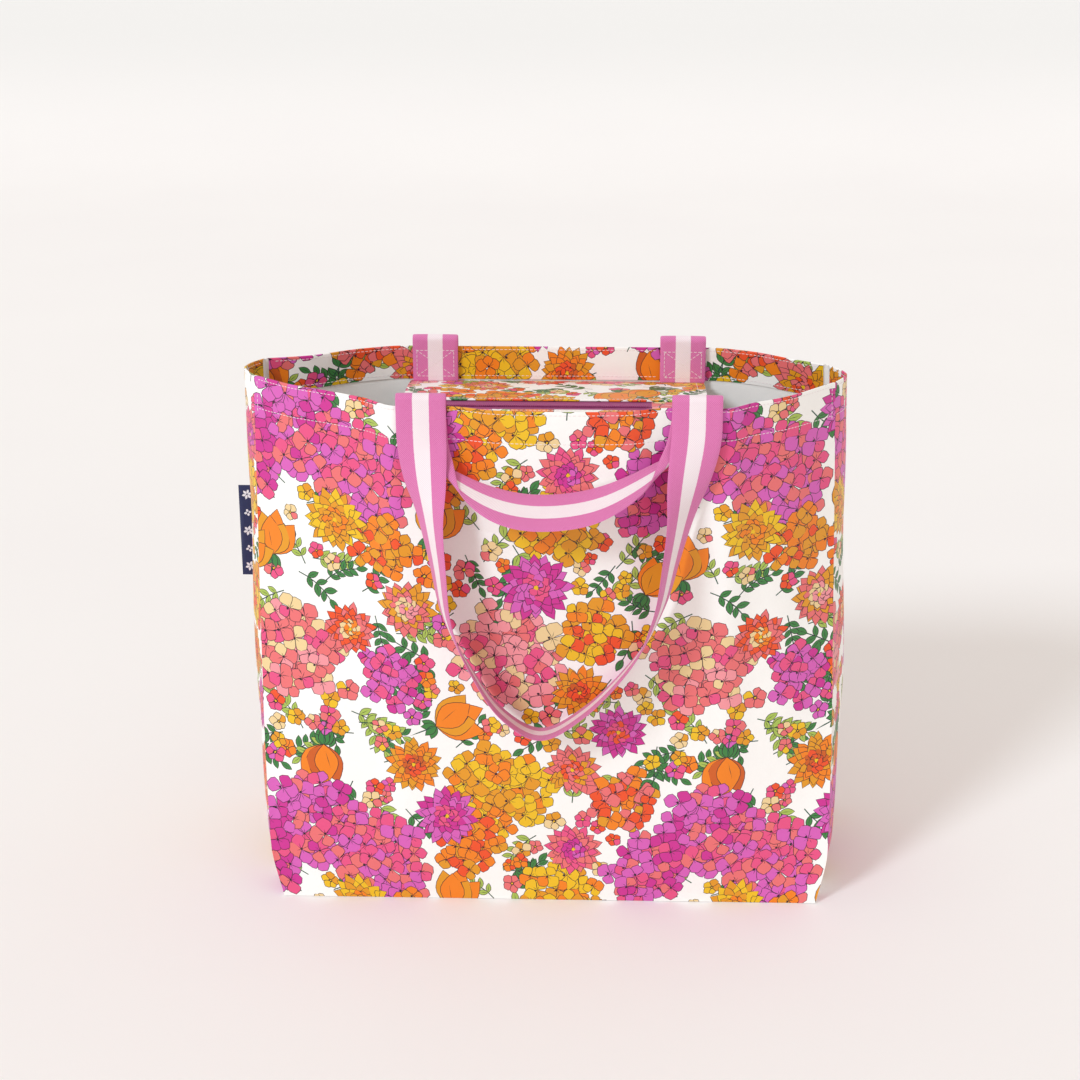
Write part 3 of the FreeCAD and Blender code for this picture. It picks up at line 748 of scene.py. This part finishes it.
def tabCloth(x0, x1):  # a pillowed square that closes the panel past one end of the zip
    def place(s, t, depth):
        x = (x0 + x1) / 2 + s
        edge = np.minimum(1 - np.abs(s) / ((x1 - x0) / 2), 1 - np.abs(t) / 12.7)
        return np.stack([x, zipLook["middle"] + t, zipLook["top"] + 0.55 + 0.55 * ease(edge / 0.25) - depth * 0.8], -1)
    return place


for side, name in ((-1, "front"), (1, "back")):
    w, reach = zipLook["flap"], zipLook["cut"] + zipLook["under"]
    folds = [((0, zipLook["cut"] + k), (0, 1)) for k in (-0.62, -0.3, 0.05, 0.4, 0.75, 1.1, 1.4)]
    flap = clothPiece("zip_flap_cloth_" + name, [(-w, 0), (w, 0), (w, reach), (-w, reach)], flapCloth(side), (60, 120 + 90 * side), thick=0.5, folds=folds)
    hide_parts("zip_flap_" + name)
    -w
    -w
    if side < 0:
        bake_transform(flap)
    else:
        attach(flap, "bag_body")
for name, x0, x1 in (("left", -zipLook["flap"], zipLook["start"]), ("right", zipLook["end"], zipLook["flap"])):
    w = (x1 - x0) / 2
    tab = clothPiece("zip_tab_cloth_" + name, [(-w, -12.7), (w, -12.7), (w, 12.7), (-w, 12.7)], tabCloth(x0, x1), (30, 180), thick=0.6, step=2.5)
    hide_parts("zip_end_tab_" + name)
    -w
    -w
    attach(tab, "bag_body")
print("base and zip panel cut")


joints = {joint["name"]: joint for joint in frame["joints"]}
swing = {side: np.array(joints[name + "_handles_swing"]["pos_m"]) * 1000 for side, name in ((-1, "front"), (1, "back"))}
strapLook = {
    "width": 35.0, "thick": 1.4, "at": {-1: (-91.0, 101.0), 1: (-94.5, 97.5)}, "tab": 31.3, "short": 2.35, "long": 3.95,
    "wobble": {"long": 0.7, "short": 0.0},
    # each station: the middle's x, stand-off past the fold and height, then the way the width points, +y away from the wall
    "longLoop": [
        (-91, 0, 390.6, 1, 0, 0), (-90.5, 3.2, 368, 1, 0.06, 0), (-88.5, 10, 342, 0.9, 0.42, 0), (-85, 14, 313, 0.6, 0.8, 0),
        (-80, 17, 275, 0.4, 0.92, 0), (-73, 18, 237, 0.27, 0.96, 0.05), (-59, 18, 203, 0.15, 0.98, 0.1), (-36, 18, 168, 0.05, 0.98, 0.15),
        (-7, 18, 150, 0, 0.98, 0.17), (24, 18, 168, -0.05, 0.98, 0.15), (60, 18, 209, -0.15, 0.98, 0.1), (75.5, 18, 244, -0.27, 0.96, 0.05),
        (84.5, 17, 280, -0.4, 0.92, 0), (91, 14, 314, -0.6, 0.8, 0), (96.5, 10, 343, -0.9, 0.42, 0), (100.5, 3.2, 368, -1, 0.06, 0), (101, 0, 390.6, -1, 0, 0),
    ],
    "shortLoop": [
        (-91, 0, 389.7, 1, 0, 0), (-90.5, 0.5, 377, 1, 0.01, -0.04), (-87, 2.5, 361, 0.96, 0.16, -0.22), (-70, 15, 342, 0.52, 0.68, -0.5),
        (-40, 27, 328, 0.15, 0.86, -0.5), (-6, 30, 323, 0, 0.88, -0.48), (34, 28, 329, -0.1, 0.87, -0.5), (72, 17, 347, -0.45, 0.72, -0.5),
        (94, 3, 364, -0.95, 0.17, -0.24), (100, 0.5, 379, -1, 0.01, -0.04), (101, 0, 389.7, -1, 0, 0),
    ],
}


def throughPoints(points, samples):  # a smooth curve that passes each point, with its slope there from the points beside it
    p = np.concatenate([[2 * points[0] - points[1]], points, [2 * points[-1] - points[-2]]])
    t = np.linspace(0, len(points) - 1, samples)
    i = np.minimum(t.astype(int), len(points) - 2)
    s = (t - i)[:, None]
    a, b, c, d = p[i], p[i + 1], p[i + 2], p[i + 3]
    return 0.5 * (2 * b + (c - a) * s + (2 * a - 5 * b + 4 * c - d) * s ** 2 + (3 * b - a - 3 * c + d) * s ** 3)


def strapPath(side, radius, stations):  # up inside the hem, over the rim, down the loop and back the same way
    y, z = swing[side][1:]
    left, right = strapLook["at"][side]
    rise = np.linspace(z - strapLook["tab"], z, 9)[:-1]
    turn = np.linspace(0, math.pi, 15)
    tab = np.stack([0 * rise, np.full(len(rise), y - side * radius), rise], -1)
    arc = np.stack([0 * turn, y - side * radius * np.cos(turn), z + radius * np.sin(turn)], -1)
    end = np.concatenate([tab, arc])
    rows = np.array(stations)
    flare = np.maximum(0, side * (wallBase(side, 0 * rows[:, 2], rows[:, 2])[:, 1] - wallBase(side, np.zeros(1), np.full(1, 390.0))[0, 1]))
    middles = np.stack([rows[:, 0] + left + 91, y + side * (radius + rows[:, 1] + flare), rows[:, 2]], -1)
    widths = rows[:, 3:] * (1, side, 1)
    loop, loopWidths = throughPoints(middles, 150), unit(throughPoints(widths, 150))
    ones = np.tile([1.0, 0, 0], (len(end), 1))
    path = np.concatenate([end + (left, 0, 0), loop, end[::-1] + (right, 0, 0)])
    return path, np.concatenate([ones, loopWidths, -ones])


def flatProfile(width, thick, count=11):  # a band with rounded edges: half height = thick / 2 * cos(angle) ** 0.3
    angle = np.linspace(-math.pi / 2, math.pi / 2, count)
    a = np.sin(angle) * width / 2
    h = thick / 2 * np.cos(angle) ** 0.3 * (np.abs(np.sin(angle)) < 0.999)
    return np.concatenate([np.c_[a, -h], np.c_[a, h][-2:0:-1]])


def band(name, path, width, profile, material, wobble=0.0):
    tangent = unit(np.gradient(path, axis=0))
    width = unit(width)
    normal = unit(np.cross(tangent, width))
    length = np.concatenate([[0], np.cumsum(np.linalg.norm(np.diff(path, axis=0), axis=1))])
    calm = ease((length - 110) / 60) * ease((length[-1] - 110 - length) / 60)
    path = path + normal * (wobble * calm * np.sin(length / 19) * np.sin(length / 47 + 1))[:, None]
    points, faces = along(path, profile, width, normal)
    n, m = len(path), len(profile)
    v = (profile[:, 0] - profile[:, 0].min()) / np.ptp(profile[:, 0])
    index = np.concatenate([np.array(f) for f in faces])
    uv = np.stack([length[index // m], v[index % m]], -1)
    return makeMesh(name, points, faces, material, uv=uv, sharp=75)


for side, name, body in ((-1, "front", "front_wall"), (1, "back", "bag_body")):
    for kind in ("long", "short"):
        radius = strapLook[kind]
        path, widths = strapPath(side, radius, strapLook[kind + "Loop"])
        profile = flatProfile(strapLook["width"], strapLook["thick"])
        strap = band(kind + "_strap_" + name, path, widths, profile, finishes["webbing"], strapLook["wobble"][kind])
        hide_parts("strap_ends_" + kind + "_" + name, kind + "_handle_" + name)
        y = swing[side][1]
        name + "_" + kind + "_loop"
        (y - side * radius * 1.1) / 1000
        (y + side * radius * 1.1) / 1000
        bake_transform(strap)
print("straps sewn on")


stitchLook = {"pitch": 3.3, "long": 2.5, "thick": 0.5}


def bead():  # one stitch: rings along its length that thin and dip towards both ends
    l = np.array([-1, -0.72, 0, 0.72, 1])
    r = np.array([0.4, 0.9, 1, 0.9, 0.4]) * stitchLook["thick"] / 2
    turn = np.arange(6) / 6 * 2 * math.pi
    lengthwise = np.broadcast_to(l[:, None] * stitchLook["long"] / 2, (5, 6))
    ring = np.stack([lengthwise, r[:, None] * np.cos(turn), r[:, None] * np.sin(turn) - 0.16 * (l ** 2)[:, None]], -1)
    return ring.reshape(-1, 3), grid(5, 6, True).tolist() + [[5, 4, 3, 2, 1, 0], [24, 25, 26, 27, 28, 29]]


def valueAt(at, length, rows):  # rows of three numbers read between their lengths
    return np.stack([np.interp(at, length, rows[:, k]) for k in range(3)], -1)


def stitches(name, rows, body=None):  # rows are (points along a line, ways out there); a bead is laid at every pitch
    shape, shapeFaces = bead()
    points, faces = [], []
    for line, outs in rows:
        length = np.concatenate([[0], np.cumsum(np.linalg.norm(np.diff(line, axis=0), axis=1))])
        at = np.arange(stitchLook["pitch"] / 2, length[-1], stitchLook["pitch"])
        middle = valueAt(at, length, line)
        out = unit(valueAt(at, length, outs))
        way = unit(valueAt(at + 0.5, length, line) - valueAt(at - 0.5, length, line))
        across = unit(np.cross(out, way))
        placed = middle[:, None] + way[:, None] * shape[:, :1] + across[:, None] * shape[:, 1:2] + out[:, None] * shape[:, 2:]
        points.append(placed.reshape(-1, 3))
    points = np.concatenate(points)
    one = len(shape)
    starts = np.arange(len(points) // one) * one
    quads = [f for f in shapeFaces if len(f) == 4]
    caps = [f for f in shapeFaces if len(f) == 6]
    faces = (starts[:, None, None] + np.array(quads)).reshape(-1, 4).tolist() + (starts[:, None, None] + np.array(caps)).reshape(-1, 6).tolist()
    made = makeMesh(name, points, faces, finishes["thread"], sharp=80)
    if body:
        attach(made, body)
    return made


def onSurface(place, side, shares, heights, depth, outward):  # a stitch line on a wall or gusset, on its outer face or its hem
    line = place(side, shares, heights, np.full(len(shares), depth))
    outs = line - place(side, shares, heights, np.full(len(shares), depth + (1.0 if outward else -1.0)))
    return line, outs


hemFace = 2 * bag["foldRadius"]
wallShares = np.linspace(-0.985, 0.985, 220)
for side, name, body in ((-1, "front", "front_wall"), (1, "back", "bag_body")):
    rows = []
    for below in (2.5, 23.5):
        heights = np.full(len(wallShares), 390 - below)
        rows.append(onSurface(onWall, side, wallShares, heights, -0.05, True))
        x = wallBase(side, wallShares, heights)[:, 0]
        left, right = strapLook["at"][side]
        for low, high in ((-300, left - 18.5), (left + 18.5, right - 18.5), (right + 18.5, 300)):
            keep = (x > low) & (x < high) & (np.abs(wallShares) < 0.975)
            rows.append(onSurface(onWall, side, wallShares[keep], heights[keep], hemFace + 0.05, False))
    for share in (-0.988, 0.988):
        heights = np.linspace(364, 388, 12)
        rows.append(onSurface(onWall, side, np.full(12, share), heights, -0.05, True))
    stitches("hem_stitches_" + name, rows, body)

    boxes = []
    y = swing[side][1] - side * (strapLook["long"] + strapLook["thick"] / 2 + 0.03)
    wide, low, high = strapLook["width"] / 2 - 3.2, 367.0, 387.4
    for x in strapLook["at"][side]:
        corners = np.array([(x - wide, y, low), (x + wide, y, low), (x + wide, y, high), (x - wide, y, high)])
        for a, b in ((0, 1), (1, 2), (2, 3), (3, 0), (0, 2), (1, 3)):
            line = np.linspace(corners[a], corners[b], 12)
            boxes.append((line, np.tile([0.0, -side, 0], (12, 1))))
            flat = line.copy()
            share = (flat[:, 0] - smoothLine(bag["sway"], flat[:, 2])) / smoothLine(bag["seams"][side], flat[:, 2])
            boxes.append(onSurface(onWall, side, share, flat[:, 2], -0.05, True))
    made = stitches("box_stitches_" + name, boxes, body)
    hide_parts("box_stitch_" + name)

for side, name in ((-1, "left"), (1, "right")):
    rows = []
    shares = np.linspace(0.03, 0.97, 60)
    for below in (2.5, 23.5):
        heights = np.full(60, 390 - below)
        rows.append(onSurface(onGusset, side, shares, heights, -0.05, True))
        inner = 0.5 + (shares - 0.5) * 0.86
        rows.append(onSurface(onGusset, side, inner, heights, hemFace + 0.05, False))
    leanBlend(stitches("hem_stitches_" + name, rows))

for side, name in ((-1, "front"), (1, "back")):
    place = flapCloth(side)
    rows = []
    lines = [(np.linspace(-108, 108, 120), np.full(120, zipLook["cut"] - 3.2))]
    lines += [(np.full(50, s), np.linspace(6, zipLook["cut"] - 4, 50)) for s in (-108.0, 108.0)]
    for s, t in lines:
        line = place(s, t, np.full(len(s), -0.05))
        rows.append((line, line - place(s, t, np.full(len(s), 0.9))))
    made = stitches("flap_stitches_" + name, rows, None if side < 0 else "bag_body")
    if side < 0:
        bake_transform(made)
print("stitched")


def zipTeeth(side):  # a coil of thread: each turn is a flattened ring that reaches just past the middle
    pitch = 1.42
    count = int((zipLook["end"] - zipLook["start"] - 6) / pitch)
    around = np.arange(10) / 10 * 2 * math.pi
    turn = np.arange(5) / 5 * 2 * math.pi
    y = 1.25 + 1.55 * np.cos(around)
    z = 0.62 + 0.42 * np.sin(around)
    core = np.stack([0.18 * np.sin(around), side * y, z], -1)
    out = np.stack([0 * around, side * np.cos(around), np.sin(around)], -1)
    ring = core[:, None] + 0.34 * (np.cos(turn)[None, :, None] * out[:, None] + np.sin(turn)[None, :, None] * np.array([1.0, 0, 0]))
    one = ring.reshape(-1, 3)
    i, j = np.meshgrid(np.arange(10), np.arange(5), indexing="ij")
    quads = np.stack([i * 5 + j, i * 5 + (j + 1) % 5, (i + 1) % 10 * 5 + (j + 1) % 5, (i + 1) % 10 * 5 + j], -1).reshape(-1, 4)
    quads = quads if side < 0 else quads[:, ::-1]
    start = np.array([zipLook["start"] + 4 + (pitch / 2 if side > 0 else 0), zipLook["middle"], zipLook["top"]])
    places = start + np.arange(count)[:, None] * (pitch, 0, 0)
    points = (places[:, None] + one).reshape(-1, 3)
    faces = (np.arange(count)[:, None, None] * 50 + quads).reshape(-1, 4)
    return points, faces


for side, name in ((-1, "front"), (1, "back")):
    points, faces = zipTeeth(side)
    teeth = makeMesh("zip_teeth_" + name, points, faces, finishes["coil"], sharp=80)
    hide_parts("zip_coil_" + name)
    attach(teeth, "bag_body")
for node, finish in (("zip_tape_front", "tape"), ("zip_tape_back", "tape"), ("zip_slider", "metal"), ("zip_puller", "metal"), ("zip_stops", "metal")):
    carried = frame["nodes"][node]
    carried.data.materials.clear()
    carried.data.materials.append(finishes[finish])


for side, wall in ((-1, "front"), (1, "back")):
    for end, name in ((-1, "left"), (1, "right")):
        heights = np.linspace(4, 361, 90)
        shares = np.full(90, end * 0.957)
        path = onWall(side, shares, heights, np.full(90, 1.75))
        across = onWall(side, shares + 0.01, heights, np.full(90, 1.75)) - path
        tape = band("seam_tape_" + wall + "_" + name, path, across, flatProfile(9.0, 0.8, 7), finishes["binding"], 0.15)
        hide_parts("seam_binding_" + wall + "_" + name)
        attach(tape, "front_wall" if side < 0 else "bag_body")


def labelPiece():  # a folded woven label with a small flower motif, caught in the seam at its right edge
    low, high = (np.array(c) * 1000 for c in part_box("side_label"))
    wide, tall = high[0] - low[0], high[2] - low[2]
    drawn = Drawing({"seed": 5, "line": 0.0})
    for k in range(5):
        x, y = wide * 0.3, tall * (k + 0.5) / 5
        for j in range(6 if k % 2 == 0 else 4):
            drawn.add(turned(petal(4.2 if k % 2 == 0 else 3.0, 2.0, 1.3, 10), j * 2 * math.pi / (6 if k % 2 == 0 else 4) + 0.26, x, y), "white", False)
        drawn.add(turned(petal(1.5, 1.5, 1, 8), 0, x - 0.75, y), "navy", False)
    points, faces = [], []
    for outline, ink in drawn.shapes:
        faces.append(list(range(len(points), len(points) + len(outline))))
        points.extend(outline.tolist())
    count = len(points)
    border = [(0, 0), (wide, 0), (wide, tall), (0, tall)]
    inner = np.stack(np.meshgrid(np.arange(1.5, wide, 2.5), np.arange(1.5, tall, 2.5)), -1).reshape(-1, 2).tolist()
    flat, made = triangulate(points + border + inner, [(count + i, count + (i + 1) % 4) for i in range(4)], faces)
    triangles = np.array(made[2])
    white = np.array([bool(ids) and drawn.shapes[max(ids)][1] == "white" for ids in made[5]])
    runs = np.concatenate([triangles[:, [0, 1]], triangles[:, [1, 2]], triangles[:, [2, 0]]])
    n = len(flat)
    lone = runs[~np.isin(runs[:, 0] * n + runs[:, 1], runs[:, 1] * n + runs[:, 0])]
    bend = 1.3 * (1 - flat[:, 0] / wide) ** 2 * np.sin(flat[:, 1] / tall * math.pi)
    half = 0.5 - 0.3 * np.exp(-flat[:, 0] / 0.8)
    middle = (low[1] + high[1]) / 2
    front = np.stack([low[0] + flat[:, 0], middle - half - bend, low[2] + flat[:, 1]], -1)
    back = np.stack([low[0] + flat[:, 0], middle + half - bend, low[2] + flat[:, 1]], -1)
    faces = np.concatenate([triangles, triangles[:, ::-1] + n]).tolist() + [[b, a, a + n, b + n] for a, b in lone.tolist()]
    inks = np.array([(16, 26, 74), (236, 236, 240)]) / 255
    colours = np.concatenate([inks[white.astype(int)], inks[white.astype(int)], np.tile(inks[0], (len(lone), 1))])
    return makeMesh("woven_label", np.concatenate([front, back]), faces, finishes["label"], colours)


label = labelPiece()
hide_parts("side_label")
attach(label, "bag_body")
print("zip, seam tapes and label made")


def makeStage():  # a pale floor that sweeps up behind, with painted shade that darkens it with height, soft lights and the camera
    u = np.linspace(0, 1, 60)
    profile = np.where(u[:, None] < 0.5, np.c_[lerp(-6, 3, u * 2), 0 * u], np.c_[3 + 3 * np.sin((u - 0.5) * math.pi), 3 - 3 * np.cos((u - 0.5) * math.pi)])
    across = np.array([-8.0, 8.0])
    points = np.stack([np.broadcast_to(across, (60, 2)), np.repeat(profile[:, :1], 2, 1), np.repeat(profile[:, 1:], 2, 1)], -1).reshape(-1, 3)
    floorFinish = Finish("palePaper", Specular_IOR_Level=0.15, Roughness=0.9)
    grain = floorFinish.noise(floorFinish.object(), 0.002, 2.0)
    height = Flow(floorFinish, floorFinish.node("SeparateXYZ", {}, {0: floorFinish.object((1, 1, 1))}).socket.node.outputs[2])
    low = floorFinish.mix(grain, colour(244, 240, 240), colour(248, 245, 244))
    # painted shade: the sweep's colour darkens from the floor up the upright back, toning down the stronger sun that
    # falls on that part
    floorFinish.feed(Base_Color=floorFinish.mix(height.over(0.0, 0.28), low, colour(234, 232, 231)))
    floor = makeMesh("floor", points * 1000, grid(60, 2)[:, ::-1], floorFinish.material)

    world = bpy.data.worlds.new("studio")
    bpy.context.scene.world = world
    world.use_nodes = True
    world.node_tree.nodes["Background"].inputs[0].default_value = (1.0, 0.95, 0.895, 1)
    world.node_tree.nodes["Background"].inputs[1].default_value = 0.8

    lamp = bpy.data.lights.new("window", "SUN")
    lamp.angle, lamp.energy, lamp.color = math.radians(13), 1.4, (0.86, 0.97, 1.04)
    light = bpy.data.objects.new("window", lamp)
    light.rotation_euler = Vector((1.0, 1.1, -0.95)).to_track_quat("-Z", "Y").to_euler()
    bpy.context.scene.collection.objects.link(light)

    bpy.context.scene.view_settings.view_transform = "Standard"
    lens = bpy.data.cameras.new("camera")
    lens.sensor_width, lens.lens = 36, 66.67
    camera = bpy.data.objects.new("camera", lens)
    camera.location = (0.0316, -1.4347, 0.764)
    camera.rotation_euler = (math.radians(90 - 19.4), 0, math.radians(1.7))
    bpy.context.scene.collection.objects.link(camera)
    bpy.context.scene.camera = camera


makeStage()
print("stage set")
